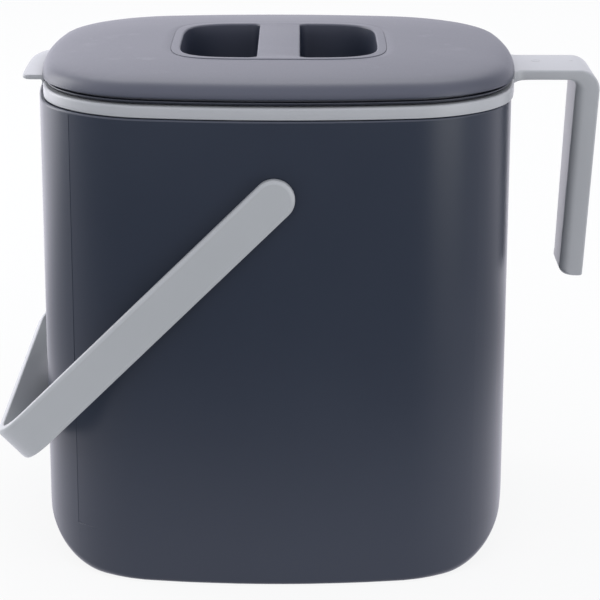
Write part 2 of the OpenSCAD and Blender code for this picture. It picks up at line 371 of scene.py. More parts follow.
def footRings(inset, floorHeight, footRadius, edgeRadius, edgeGrowth, across=0.0):
    # Rings from the wall's lower end, round the edge, under the two turned ends, to the middle.
    # The first ring's heights say where each column's wall ends.
    straight = plan["width"] / 2 - inset - footRadius

    def heightAt(x):
        over = min(max(0.0, abs(x) - straight), footRadius)
        return floorHeight + footRadius - math.sqrt(footRadius ** 2 - over ** 2)

    blendSteps, underSteps = foot["blendSteps"], foot["underSteps"]
    rings = [[] for _ in range(blendSteps + 1 + underSteps)]
    for column in columns:
        nx = abs(column[3])
        startX = abs(planPoint(column, inset)[0])
        # just short of the radius, so that the slope stays finite
        over = min(max(0.0, startX - straight), footRadius * 0.99999)
        slope = -nx * over / math.sqrt(footRadius ** 2 - over ** 2)
        turn = math.acos(-slope / math.hypot(1, slope))
        radius = edgeRadius + edgeGrowth * nx ** foot["growthPower"]
        reach = max(radius * math.tan(turn / 2), foot["leastReach"])
        # walks in along the foot until the edge's reach is used up
        bottom = heightAt(startX)
        walked, depth, step = 0.0, 0.0, 0
        lastHeight = bottom
        while walked < reach:
            step += 1
            nextDepth = foot["walkStep"] * step ** 2
            height = heightAt(startX - nx * nextDepth)
            walked += math.hypot(nextDepth - depth, height - lastHeight)
            depth, lastHeight = nextDepth, height
        ahead = heightAt(startX - nx * (depth + foot["lookAhead"])) - lastHeight
        heading = Vector((foot["lookAhead"], ahead)).normalized()
        first = Vector((0, bottom + reach))
        last = Vector((depth, lastHeight))
        pull = 4 / 3 * math.tan(turn / 4) * reach / max(math.tan(turn / 2), 1e-3)
        pull = min(pull, reach * foot["longestPull"])
        handleA, handleB = first + Vector((0, -pull)), last - heading * pull
        for k in range(blendSteps + 1):
            t = k / blendSteps
            p = ((1 - t) ** 3 * first + 3 * (1 - t) ** 2 * t * handleA
                 + 3 * (1 - t) * t ** 2 * handleB + t ** 3 * last)
            x, y = planPoint(column, inset + p.x)
            rings[k].append((x + across, y, p.y))
        left = max(0.0, startX - nx * depth - straight)
        leftAngle = math.asin(min(1.0, left / footRadius))
        for k in range(1, underSteps + 1):
            angle = leftAngle * (1 - k / underSteps)
            under = footRadius * (math.sin(leftAngle) - math.sin(angle))
            under /= max(nx, foot["leastNormal"])
            x, y = planPoint(column, inset + depth + max(under, foot["underStep"] * k))
            rings[blendSteps + k].append((x + across, y, heightAt(x)))
    outer = rings[-1]
    for share in foot["towardsMiddle"]:
        rings.append([((x - across) * share + across, y * share, heightAt((x - across) * share))
                      for x, y, _ in outer])
    return rings, (across, 0.0, floorHeight)


# finishes
grain = {
    "cloudScale": 9.0,
    "fineScale": 1500.0,
    "pebbleScale": 2100.0,
    "rubbedScale": 55.0,
    "rubbedFrom": 0.56,
    "rubbedTo": 0.74,
    "cloudFrom": 0.42,
    "cloudTo": 0.62,
    "cloudTone": 0.9,
    "fineTone": 0.22,
    "markTone": 0.10,
    "cloudRough": 0.09,
    "fineRough": 0.10,
    "markRough": 0.05,
    "fineHeight": 0.6,
    "pebbleHeight": 0.5,
    "rubbedHeight": 0.12,
    "relief": 0.00004,  # metres
    "flowTurn": 0.3,  # radians
    "flowStretch": 0.16,
    "dustScale": 120.0,
    "dustFrom": 0.35,
    "dustTo": 0.7,
    "skinScale": 1900.0,
    "dustRough": 0.18,
    "dustHeight": 0.5,
    "rubberRelief": 0.00005,  # metres
}


def newFinish(name):
    material = bpy.data.materials.new(name)
    material.use_nodes = True
    shader = material.node_tree.nodes["Principled BSDF"]
    place = Wire(material.node_tree).node("ShaderNodeTexCoord", output="Object")
    return material, shader, place


def noise(place, scale, detail, roughness=0.5):
    return place.node("ShaderNodeTexNoise", inputs={
        "Vector": place, "Scale": scale, "Detail": detail, "Roughness": roughness})


def dressShader(shader, share, colours, rough, height, strength, relief):
    base = share.node("ShaderNodeMix", {"data_type": "RGBA"}, {
        0: share, 6: (*colours[0], 1.0), 7: (*colours[1], 1.0)}, output=2)
    base.feed(shader, "Base Color")
    rough.feed(shader, "Roughness")
    height.node("ShaderNodeBump", inputs={
        "Strength": strength, "Distance": relief, "Height": height}).feed(shader, "Normal")


def plasticFinish(name, colours, roughness, bump, sheen=0.5):
    # moulded plastic with a fine spark-eroded grain, slight flow marks and a faint rubbed look
    g = grain
    material, shader, place = newFinish(name)
    cloud = noise(place, g["cloudScale"], 3.0)
    fine = noise(place, g["fineScale"], 2.0, 0.6)
    pebble = place.node("ShaderNodeTexVoronoi", {"feature": "SMOOTH_F1"}, {
        "Vector": place, "Scale": g["pebbleScale"]})
    flow = place.node("ShaderNodeMapping", inputs={
        "Vector": place, "Rotation": (0.0, 0.0, g["flowTurn"]),
        "Scale": (1.0, 1.0, g["flowStretch"])})
    rubbed = noise(flow, g["rubbedScale"], 5.0, 0.62)
    marks = (rubbed.ease(g["rubbedFrom"], g["rubbedTo"])
             * cloud.ease(g["cloudFrom"], g["cloudTo"]))
    tone = ((cloud - 0.5) * g["cloudTone"] + (fine - 0.5) * g["fineTone"]
            + marks * g["markTone"] + 0.5)
    rough = (roughness + (cloud - 0.5) * g["cloudRough"] + (fine - 0.5) * g["fineRough"]
             - marks * g["markRough"])
    height = fine * g["fineHeight"] + pebble * g["pebbleHeight"] + rubbed * g["rubbedHeight"]
    dressShader(shader, tone.most(0.0).least(1.0), colours, rough, height, bump, g["relief"])
    shader.inputs["Specular IOR Level"].default_value = sheen
    return material


def rubberFinish(name, colours, roughness, bump, sheen):
    # silicone: soft and slightly dusty
    g = grain
    material, shader, place = newFinish(name)
    dust = noise(place, g["dustScale"], 4.0, 0.6)
    height = noise(place, g["skinScale"], 1.0) + dust * g["dustHeight"]
    dressShader(shader, dust.ease(g["dustFrom"], g["dustTo"]), colours,
                roughness + dust * g["dustRough"], height, bump, g["rubberRelief"])
    shader.inputs["Sheen Weight"].default_value = sheen
    return material


slate = plasticFinish("slatePlastic", ((0.0145, 0.0208, 0.036), (0.0195, 0.0272, 0.044)),
                      0.33, 0.18, 0.36)
lidSlate = plasticFinish("lidPlastic", ((0.022, 0.027, 0.044), (0.028, 0.034, 0.053)), 0.42, 0.18)
linerSlate = plasticFinish("linerPlastic", ((0.017, 0.021, 0.033), (0.023, 0.028, 0.042)),
                           0.45, 0.2)
paleGrey = plasticFinish("palePlastic", ((0.37, 0.38, 0.39), (0.42, 0.43, 0.44)), 0.42, 0.16)
bucketGrey = plasticFinish("bucketPlastic", ((0.366, 0.372, 0.386), (0.416, 0.422, 0.436)),
                           0.40, 0.14)
sealRubber = rubberFinish("sealRubber", ((0.15, 0.16, 0.17), (0.19, 0.20, 0.21)), 0.5, 0.25, 0.12)
print("caddy: finishes ready")

# outer shell
shell = {
    "lip": 215.5,
    "wall": 2.4,
    "floor": 3.0,
    "footRadius": 32.0,
    "edgeRadius": 2.0,
    "edgeGrowth": 6.0,
    "innerEdgeRadius": 1.6,
    "innerEdgeGrowth": 5.0,
    "lipRadius": 0.9,
    "innerLipRadius": 0.5,
    "lipFrom": 214.5,
    "innerLipFrom": 210.0,
    "lineTop": 214.4,
    "lineFoot": 22.6,
    "lineDepth": 0.27,
    "lineTaper": 0.3,
    "lineFootRun": 11.5,
    "lineFootLift": 1.0,  # no foot line where the end's curve lifts the ring by more
    "ringGap": 0.3,
    "outerLevels": (60, 100, 140, 180, 205),
    "innerLevels": (180, 120, 60),
    "pivotHeight": 181.5,
    "boreRadius": 5.06,
    "bossRadius": 10.0,
    "bossFace": 91.8,
    "bossEdge": 0.5,
    "borePast": 3.0,
}
# rings at the parting line's foot: height from the foot, and whether each has the upright
# line and the short line along the foot
lineRings = ((-0.5, False, False), (-0.22, False, False), (0.0, True, True),
             (0.22, True, False), (0.5, True, False))


def shellWallRing(starts, height, order, groove=0.0, footLine=False):
    ring = []
    for k, column in enumerate(columns):
        level = max(height, starts[k] + shell["ringGap"] * order)
        depth = 0.0
        if groove and column[5] == 2:
            depth = groove
        if footLine and column[3] < 0 and level < height + shell["lineFootLift"]:
            run = plan["lineFromMiddle"] - abs(planPoint(column, 0)[0])
            if 0 <= run < shell["lineFootRun"]:
                depth = max(depth, shell["lineDepth"] * (1 - run / shell["lineFootRun"]))
        ring.append((*planPoint(column, depth), level))
    return ring


def makeShell():
    s = shell
    outside, outsidePole = footRings(0, 0, s["footRadius"], s["edgeRadius"], s["edgeGrowth"])
    inside, insidePole = footRings(s["wall"], s["floor"], s["footRadius"] - s["wall"],
                                   s["innerEdgeRadius"], s["innerEdgeGrowth"])
    starts = [p[2] for p in outside[0]]
    rings = outside[::-1]
    for order, (up, upright, footLine) in enumerate(lineRings, 1):
        rings.append(shellWallRing(starts, s["lineFoot"] + up, order,
                                   s["lineDepth"] if upright else 0.0, footLine))
    order = len(lineRings) + 1
    for height in (*s["outerLevels"], s["lineTop"] - s["lineTaper"]):
        rings.append(shellWallRing(starts, height, order, s["lineDepth"]))
    rings.append(shellWallRing(starts, s["lineTop"], order))
    lip = roundedPath([(0, s["lipFrom"], 0), (0, s["lip"], s["lipRadius"]),
                       (s["wall"], s["lip"], s["innerLipRadius"]),
                       (s["wall"], s["innerLipFrom"], 0)], 6)
    rings += [outlineRing(p.x, p.y) for p in lip]
    rings += [outlineRing(s["wall"], height) for height in s["innerLevels"]]
    rings += inside
    piece = loft("outerShell", rings, outsidePole, insidePole)
    low, high = s["bossFace"], plan["depth"] / 2
    bossProfile = [(s["bossRadius"] - s["bossEdge"], low),
                   (s["bossRadius"], low + s["bossEdge"]),
                   (s["bossRadius"], high - s["wall"] / 2)]
    boreProfile = [(s["boreRadius"], low - s["borePast"]), (s["boreRadius"], high + s["borePast"])]
    for name, profile, operation in (("boss", bossProfile, "UNION"),
                                     ("bore", boreProfile, "DIFFERENCE")):
        tools = [turned(name, profile, s["pivotHeight"], flip=flip) for flip in (-1, 1)]
        carve(piece, tools, operation)
    return settle(piece, "shell", ["outer_shell"], slate)


makeShell()

# inner bucket
bucket = {
    "inset": 7.6,
    "wall": 1.8,
    "base": 6.6,
    "footRadius": 30.0,
    "edgeRadius": 2.2,
    "edgeGrowth": 6.0,
    "innerEdgeRadius": 1.6,
    "outerLevels": (60, 120, 180),
    "innerLevels": (150, 100, 60),
    "bendsFrom": 190.0,
    "collarInset": 4.3,
    "collarHeight": 200.8,
    "collarRadius": 1.0,
    "collarEdge": 0.7,
    "mouthInset": 6.1,
    "mouthRadius": 0.9,
    "stepRadius": 1.2,
    "stepEdge": 0.8,
    "bandInset": 0.3,
    "bandLow": 215.8,
    "bandRootRadius": 0.4,
    "rim": 221.3,
    "bandTopRadius": 1.2,
    "bandLowRadius": 0.5,
}


def makeBucket():
    b = bucket
    outside, outsidePole = footRings(b["inset"], b["base"], b["footRadius"], b["edgeRadius"],
                                     b["edgeGrowth"], shift)
    inside, insidePole = footRings(b["inset"] + b["wall"], b["base"] + b["wall"],
                                   b["footRadius"] - b["wall"], b["innerEdgeRadius"],
                                   b["edgeGrowth"], shift)
    inner = b["inset"] + b["wall"]
    step = b["collarHeight"] + b["wall"]
    rim = roundedPath([
        (b["inset"], b["bendsFrom"], 0),
        (b["inset"], b["collarHeight"], b["collarRadius"]),
        (b["collarInset"], b["collarHeight"], b["collarEdge"]),
        (b["collarInset"], b["bandLow"], b["bandRootRadius"]),
        (b["bandInset"], b["bandLow"], b["bandLowRadius"]),
        (b["bandInset"], b["rim"], b["bandTopRadius"]),
        (b["mouthInset"], b["rim"], b["mouthRadius"]),
        (b["mouthInset"], step, b["stepRadius"]),
        (inner, step, b["stepEdge"]),
        (inner, b["bendsFrom"], 0)], 6)
    rings = outside[::-1]
    rings += [outlineRing(b["inset"], height, shift) for height in b["outerLevels"]]
    rings += [outlineRing(p.x, p.y, shift) for p in rim]
    rings += [outlineRing(inner, height, shift) for height in b["innerLevels"]]
    rings += inside
    piece = loft("bucketBody", rings, outsidePole, insidePole)
    return settle(piece, "bucket", ["inner_bucket", "bucket_rim"], bucketGrey)


makeBucket()

# lifting tab
tab = {
    "top": 223.8,
    "under": 221.8,
    "tipRadius": 0.8,
    # plan of the free edge, (x, y), from the rear round to the front
    "edge": [(107.6, 36.5), (109.6, 33.2), (111.7, 29.6), (113.6, 25.0), (114.9, 20.0),
             (115.6, 14.5), (115.9, 8.0), (115.96, 0.0), (115.96, -8.0), (115.9, -16.0),
             (115.75, -24.0), (115.5, -29.6), (115.2, -31.2), (114.6, -32.4), (113.6, -33.2),
             (112.6, -33.45)],
    "edgeSteps": 3,
    "tipShare": 0.3,  # of the reach, at most, for the tip's radius
    "tipCut": 0.3,  # of that radius, for the point half way round it
    "tipRise": (0.25, 0.8),
    "leastReach": 0.15,
    "fullReach": 3.2,  # nearer the band than this the web is drawn in
    # the section at the band, (out from the band, height or depth below the top)
    "rootUnder": [(-2.6, 219.2), (-0.4, 219.2), (0.05, 219.6)],
    "web": [(0.1, 220.9), (0.3, 221.5), (0.8, 221.8)],
    "rootTop": [(-0.3, 0.0), (-0.65, 0.15), (-0.8, 0.5)],
    "rootBack": [(-0.8, 220.6), (-2.6, 220.6)],
    "frontEnd": [(0.02, 0.985), (0.05, 0.95)],  # out past the last section, and its size
}


def bandFaceAt(y):  # x of the band's outer face at this y, on the side bow or the corner
    best = min(columns, key=lambda c: abs(planPoint(c, bucket["bandInset"])[1] - y)
               if c[3] > 0 else 1e9)
    return planPoint(best, bucket["bandInset"])[0]


def makeTab():
    t = tab
    top, under = t["top"], t["under"]
    rise, lastRise = t["tipRise"]
    edge = [Vector(p) for p in t["edge"]]
    stations = [a.lerp(b, k / t["edgeSteps"]) for a, b in zip(edge[:-1], edge[1:])
                for k in range(t["edgeSteps"])]
    stations.append(edge[-1])
    rings = []
    for p in stations:
        face = bandFaceAt(p.y)
        reach = max(p.x + shift - face, t["leastReach"])
        room = min(1.0, reach / t["fullReach"])
        r = min(t["tipRadius"], reach * t["tipShare"])
        cut = t["tipCut"] * r
        section = t["rootUnder"] + [(u * room, z) for u, z in t["web"]]
        section += [(reach - r, under), (reach - cut, under + rise), (reach, under + lastRise),
                    (reach, top - r), (reach - cut, top - cut), (reach - r, top)]
        section += [(u, top - down) for u, down in t["rootTop"]] + t["rootBack"]
        rings.append([(-(face + u) + shift, p.y, z) for u, z in section])
    last = rings[-1]
    middle = Vector((sum(p[0] for p in last) / len(last), 0, sum(p[2] for p in last) / len(last)))
    for out, share in t["frontEnd"]:
        rings.append([(middle.x + (p[0] - middle.x) * share, p[1] - out,
                       middle.z + (p[2] - middle.z) * share) for p in last])
    piece = capped("liftingTab", rings, plainCrease)
    return settle(piece, "bucket", [], bucketGrey)


makeTab()

# side handle
hook = {
    "top": 224.0,
    "armThickness": 4.6,
    "reach": 148.2,
    "legThickness": 10.9,
    "legEnd": 124.5,
    "lean": 4.5,
    "elbowRadius": 9.5,
    "innerElbowRadius": 4.0,
    "rootX": 106.6,
    "bandX": 109.1,
    "topWidth": 41.0,
    "endWidth": 31.0,
    "outerEdge": 1.0,
    "armInnerEdge": 1.1,
    "legInnerEdge": 4.6,
    "rootFlare": 0.7,
    "rootFlareRun": 3.0,
    "rootPlanRadius": 4.5,
    "endInnerRadius": 4.5,
    "endOuterRadius": 0.9,
    "armSteps": 20,
    "armCrowding": 1.5,  # above 1 puts more sections near the root
    "legSteps": 14,
    "endSteps": 8,
    "edgeSteps": 7,
    "crease": 40,
    "marks": [(120.6, 4.5, 2.3), (137.4, 5.0, 0.9)],  # x, y and radius of rings left by moulding
    # section of such a ring: (inwards from its radius, height), then its flat middle
    "markRim": [(0.0, -0.3), (0.0, 0.04), (0.15, 0.1), (0.4, 0.1), (0.55, 0.04)],
    "markMiddle": [(0.25, 0.03), (0.15, 0.03)],
}


def hookStations():
    # pairs of points, on the outer and the inner side, from the root to the leg's end
    h = hook
    low = h["top"] - h["armThickness"]
    legInner = h["reach"] - h["legThickness"]
    outerTurn = Vector((h["reach"] - h["elbowRadius"], h["top"] - h["elbowRadius"]))
    innerTurn = Vector((legInner - h["innerElbowRadius"], low - h["innerElbowRadius"]))
    pairs = []
    for k in range(h["armSteps"] + 1):
        t = (k / h["armSteps"]) ** h["armCrowding"]
        x = h["rootX"] + (innerTurn.x - h["rootX"]) * t
        flare = h["rootFlare"] * math.exp(-max(0.0, x - h["bandX"]) / h["rootFlareRun"])
        outerX = h["rootX"] + (outerTurn.x - h["rootX"]) * t
        pairs.append((Vector((outerX, h["top"])), Vector((x, low - flare)), 0.0))
    steps = h["legSteps"]
    for k in range(1, steps + 1):
        angle = quarterTurn * (1 - k / steps)
        turn = Vector((math.cos(angle), math.sin(angle)))
        pairs.append((outerTurn + turn * h["elbowRadius"],
                      innerTurn + turn * h["innerElbowRadius"], k / steps))
    outerEnd = Vector((h["reach"] - h["lean"], h["legEnd"]))
    innerEnd = Vector((legInner - h["lean"], h["legEnd"]))
    outerTop, innerTop = pairs[-1][0], pairs[-1][1]
    for k in range(1, steps + 1):
        pairs.append((outerTop.lerp(outerEnd, k / steps), innerTop.lerp(innerEnd, k / steps), 1.0))
    return pairs


def hookSection(outer, inner, width, innerEdge, inset=0.0, innerInset=0.0):
    half = width / 2 - inset
    thick = (outer - inner).length
    across = (outer - inner) / thick
    corners = [(-half, innerInset, innerEdge), (half, innerInset, innerEdge),
               (half, thick - inset, hook["outerEdge"]), (-half, thick - inset, hook["outerEdge"])]
    return [(inner.x + across.x * p.y + shift, p.x, inner.y + across.y * p.y)
            for p in roundedPath(corners, hook["edgeSteps"], closed=True)]


def raisedMark(x, y, radius, steps=40):
    profile = [(radius - inwards, up) for inwards, up in hook["markRim"]] + hook["markMiddle"]
    turns = [math.tau * k / steps for k in range(steps)]
    return capped("mark", [[(x + shift + r * math.cos(a), y + r * math.sin(a), hook["top"] + z)
                            for a in turns] for r, z in profile])


def makeHook():
    h = hook
    rings = []
    pairs = hookStations()
    for outer, inner, share in pairs[:-1]:
        level = (outer.y + inner.y) / 2
        down = min(1.0, max(0.0, (h["top"] - level) / (h["top"] - h["legEnd"])))
        width = h["topWidth"] + (h["endWidth"] - h["topWidth"]) * down
        near = h["rootPlanRadius"] - max(0.0, outer.x - h["bandX"])
        if near > 0:
            width += 2 * (h["rootPlanRadius"] - math.sqrt(h["rootPlanRadius"] ** 2 - near ** 2))
        edge = h["armInnerEdge"] + (h["legInnerEdge"] - h["armInnerEdge"]) * share
        rings.append(hookSection(outer, inner, width, edge))
    outer, inner, _ = pairs[-1]
    for k in range(h["endSteps"] + 1):
        angle = quarterTurn * k / h["endSteps"]
        up, inwards = 1 - math.sin(angle), 1 - math.cos(angle)
        inset = h["endOuterRadius"] * inwards
        outerEnd = outer + Vector((0, h["endOuterRadius"] * up))
        innerEnd = inner + Vector((0, h["endInnerRadius"] * up))
        rings.append(hookSection(outerEnd, innerEnd, h["endWidth"], h["legInnerEdge"] - inset,
                                 inset, h["endInnerRadius"] * inwards))
    piece = capped("sideHandle", rings, h["crease"])
    joined(piece, [raisedMark(*mark) for mark in h["marks"]])
    return settle(piece, "bucket", ["side_handle"], bucketGrey)


makeHook()

# carrying handle
bail = {
    "reach": 167.4,
    "halfSpan": 101.2,
    "thickness": 4.2,
    "width": 18.4,
    "bendRadius": 19.5,
    "hang": 44.57,
    "outerEdgeWidth": 1.8,
    "outerEdgeDepth": 1.5,
    "outerEdgeArc": 72.0,
    "innerEdge": 0.8,
    "crease": 14,
    "flatSteps": 8,
    "bendSteps": 16,
    "armSteps": 10,
    "roundSteps": 20,
    "outerEdgeSteps": 6,
    "innerEdgeSteps": 5,
    "studRadius": 5.0,
    "studFrom": 89.8,
    "studTo": 99.1,
    "studEdge": 0.6,
    "studSteps": 64,
}


def bendTree():
    # wraps a flat strap (x along, y across, z out of the outer face) round the handle's path
    given = newTree("bendHandleStrap", [(name, "Float") for name in (
        "Reach", "Half Span", "Bend Radius", "Hang Angle", "Pivot Height")])
    reach, span, bend = given.other("Reach"), given.other("Half Span"), given.other("Bend Radius")
    hang, pivot = given.other("Hang Angle"), given.other("Pivot Height")
    along, across, out = splitPosition(given)
    run = along.math("ABSOLUTE", along)
    side = along.math("SIGN", along)
    flat = span - bend
    turn = ((run - flat) / bend).most(0.0).least(quarterTurn)
    armRun = (run - flat - bend * quarterTurn).most(0.0)
    radius = bend + out
    x = reach - bend + radius * turn.math("COSINE", turn) - armRun
    y = side * (run.least(flat) + radius * turn.math("SINE", turn))
    # the strap hangs down to the left of the pivots
    cosine, sine = hang.math("COSINE", hang), hang.math("SINE", hang)
    return endTree(given, movedTo(given, -(x * cosine) + across * sine, y,
                                  pivot - x * sine - across * cosine))


def flatStrap():
    b = bail
    half = b["width"] / 2
    flat = b["halfSpan"] - b["bendRadius"]
    arc = b["bendRadius"] * math.pi / 2
    arm = b["reach"] - b["bendRadius"]
    end = flat + arc + arm
    stops = []
    for start, length, steps in ((0.0, flat, b["flatSteps"]), (flat, arc, b["bendSteps"]),
                                 (flat + arc, arm, b["armSteps"])):
        stops += [start + length * k / steps for k in range(steps)]
    upper = [-s for s in stops[::-1]] + stops[1:]
    # (inset, height) of the rings, from the outer face round the long edges to the inner one
    levels = []
    widest = math.radians(b["outerEdgeArc"])
    for k in range(b["outerEdgeSteps"], -1, -1):
        angle = widest * k / b["outerEdgeSteps"]
        inset = b["outerEdgeWidth"] * (1 - math.cos(angle)) / (1 - math.cos(widest))
        depth = b["outerEdgeDepth"] * (1 - math.sin(angle) / math.sin(widest))
        levels.append((inset, -depth))
    for k in range(b["innerEdgeSteps"] + 1):
        angle = quarterTurn * k / b["innerEdgeSteps"]
        levels.append((b["innerEdge"] * (1 - math.cos(angle)),
                       -b["thickness"] + b["innerEdge"] * (1 - math.sin(angle))))
    turns = [math.pi * k / b["roundSteps"] for k in range(b["roundSteps"] + 1)]

    def ring(inset, height):
        r = half - inset
        points = [(x, r, height) for x in upper]
        points += [(end + r * math.sin(turn), r * math.cos(turn), height) for turn in turns]
        points += [(x, -r, height) for x in upper[::-1]]
        points += [(-end - r * math.sin(turn), -r * math.cos(turn), height) for turn in turns]
        return points

    rings = [ring(inset, height) for inset, height in levels]
    count = len(rings[0])
    points = [p for r in rings for p in r]
    faces = wallFaces(len(rings), count)
    # the outer and the inner face: strips between each point and its mirror across the strap
    spots = [(x, y) for x, y, _ in rings[0]]
    mirrored = [min(range(count), key=lambda m: abs(spots[m][0] - x) + abs(spots[m][1] + y))
                for x, y in spots]
    rim = [k for k in range(count) if spots[k][1] >= -1e-6]
    rim.sort(key=lambda k: spots[k][0])
    for base in (0, (len(rings) - 1) * count):
        for k, n in zip(rim[:-1], rim[1:]):
            face = dict.fromkeys([base + k, base + n, base + mirrored[n], base + mirrored[k]])
            if len(face) > 2:
                faces.append(tuple(face))
    return newPiece("carryHandle", points, faces, b["crease"])


def makeBail():
    b = bail
    piece = flatStrap()
    addTree(piece, bendTree(), {
        "Reach": b["reach"] * mm, "Half Span": b["halfSpan"] * mm,
        "Bend Radius": b["bendRadius"] * mm, "Hang Angle": math.radians(b["hang"]),
        "Pivot Height": shell["pivotHeight"] * mm, "Material": paleGrey})
    makePlain(piece, b["crease"])
    profile = [(b["studRadius"] - b["studEdge"], b["studFrom"]),
               (b["studRadius"], b["studFrom"] + b["studEdge"]), (b["studRadius"], b["studTo"])]
    joined(piece, [turned("stud", profile, shell["pivotHeight"], b["studSteps"], flip)
                   for flip in (-1, 1)])
    return settle(piece, "handle", ["bail_handle"], paleGrey)


makeBail()

# pivot caps
cap = {
    "radius": 8.5,
    "from": 88.9,
    "to": 91.5,
    "endThickness": 0.9,
    "boreRadius": 5.0,
    "edge": 0.7,
    "lowEdge": 0.4,
    "smallEdge": 0.3,
    "dimpleFloor": 2.2,  # radius of the dimple's flat floor, then of its foot and its rim
    "dimpleFoot": 3.0,
    "dimpleRim": 3.4,
    "dimpleDepth": 0.35,
    "steps": 72,
}


def makeCap(name, node, flip):
    c = cap
    dimple = c["from"] + c["dimpleDepth"]
    profile = roundedPath([
        (c["dimpleFloor"], dimple, 0), (c["dimpleFoot"], dimple, c["smallEdge"]),
        (c["dimpleRim"], c["from"], c["smallEdge"]), (c["radius"], c["from"], c["edge"]),
        (c["radius"], c["to"], c["lowEdge"]), (c["boreRadius"], c["to"], c["smallEdge"]),
        (c["boreRadius"], c["from"] + c["endThickness"], 0)], 4)
    piece = turned(name, [(p.x, p.y) for p in profile], shell["pivotHeight"], c["steps"],
                   flip, plainCrease)
    return settle(piece, "handle", [node], linerSlate)


makeCap("pivotCapFront", "pivot_cap_front", -1)
makeCap("pivotCapRear", "pivot_cap_rear", 1)

# lid
lid = {
    "inset": 0.3,
    "coverLow": 224.6,
    "rise": 9.8,
    "bow": 3.2,
    "edgePower": 36.0,
    "bowPower": 4.0,
    "wall": 2.2,
    # cover's rings, as shares of the way from the middle to the outline, above and below
    "topFrom": 0.66,
    "topBetween": (0.2, 0.45, 0.72),
    "topShares": (0.66, 0.72, 0.78, 0.83, 0.87, 0.9, 0.925, 0.945, 0.96, 0.972, 0.981, 0.988,
                  0.993, 0.9965, 0.9985, 0.9996, 0.9999),
    "underShares": (1.0, 0.996, 0.985, 0.96, 0.92, 0.86, 0.78, 0.68),
    "holeEdge": ((0.0, 0.2), (0.05, 0.06), (0.18, 0.0)),  # (outwards, down) from the hole
    "rimEdge": ((0.0, -0.3), (0.08, -0.08), (0.3, 0.0)),  # (inwards, down) from the outline
    "seatGap": 0.02,
    "linerLow": 221.6,
    "linerInset": 2.2,
    "linerFrom": 30.0,
    "lipFrom": 0.75,
    "lipTo": 1.6,
    "grooveDepth": 2.5,
    "lowGrooveDepth": 1.5,
    "skirtInset": 6.8,
    "skirtThickness": 2.8,
    "skirtDepth": 11.0,
    "skirtEdge": 0.7,
    "skirtGap": 0.01,
    "sealHeight": 3.2,
    "sealSeat": 1.2,
    "sealProud": 0.45,
    "sealSlope": 0.55,
    "sealEdge": 0.4,
    "sealInset": 0.05,
    "sealBackGap": 0.02,
    "smallEdge": 0.1,
    "grooveEdge": 0.2,
    "lipEdge": 0.3,
    "pocketWidth": 92.5,
    "pocketPower": 4.6,
    "flangeWidth": 3.2,
    "flangeThickness": 1.2,
    "fit": 0.3,
    "pocketWall": 1.6,
}
crown = lid["coverLow"] + lid["rise"]
pocketHole = lid["pocketWidth"] / 2 + lid["pocketWall"] + lid["fit"]
rayAngles = [math.atan2(*reversed(planPoint(c, lid["inset"]))) for c in columns]


def squircleRing(halfWidth, height=0.0, across=0.0):
    # a rounded square, with its points on the same rays as the outline's columns
    power = lid["pocketPower"]
    ring = []
    for x, y in (planPoint(column, lid["inset"]) for column in columns):
        length = math.hypot(x, y)
        c, s = x / length, y / length
        r = halfWidth / (abs(c) ** power + abs(s) ** power) ** (1 / power)
        ring.append((r * c + across, r * s, height))
    return ring


def sharesOf(ring, inset):
    # how far out each point lies: 1 on the outline, 0 in the middle
    shares = []
    for x, y, _ in ring:
        angle = math.atan2(y, x)
        best = min(range(len(columns)), key=lambda k: abs(math.remainder(
            rayAngles[k] - angle, math.tau)))
        shares.append(math.hypot(x, y) / math.hypot(*planPoint(columns[best], inset)))
    return shares


def crownTree():
    # lifts flat rings into the lid's crown: a tight round edge under a slow bow
    given = newTree("lidCrown", [(name, "Float") for name in (
        "Base Height", "Rise", "Bow", "Wall", "Edge Power")])
    share, inside, drop = (given.node(
        "GeometryNodeInputNamedAttribute", {"data_type": "FLOAT"}, {"Name": name})
        for name in ("share", "inside", "drop"))
    rest = (1.0 - share ** given.other("Edge Power")).most(0.0)
    bow = given.other("Bow")
    edge = given.other("Rise") - bow - inside * given.other("Wall")
    lift = edge * rest.math("SQRT", rest) + bow * (1.0 - share ** lid["bowPower"])
    height = given.other("Base Height") + lift - drop
    x, y, _ = splitPosition(given)
    return endTree(given, movedTo(given, x, y, height))


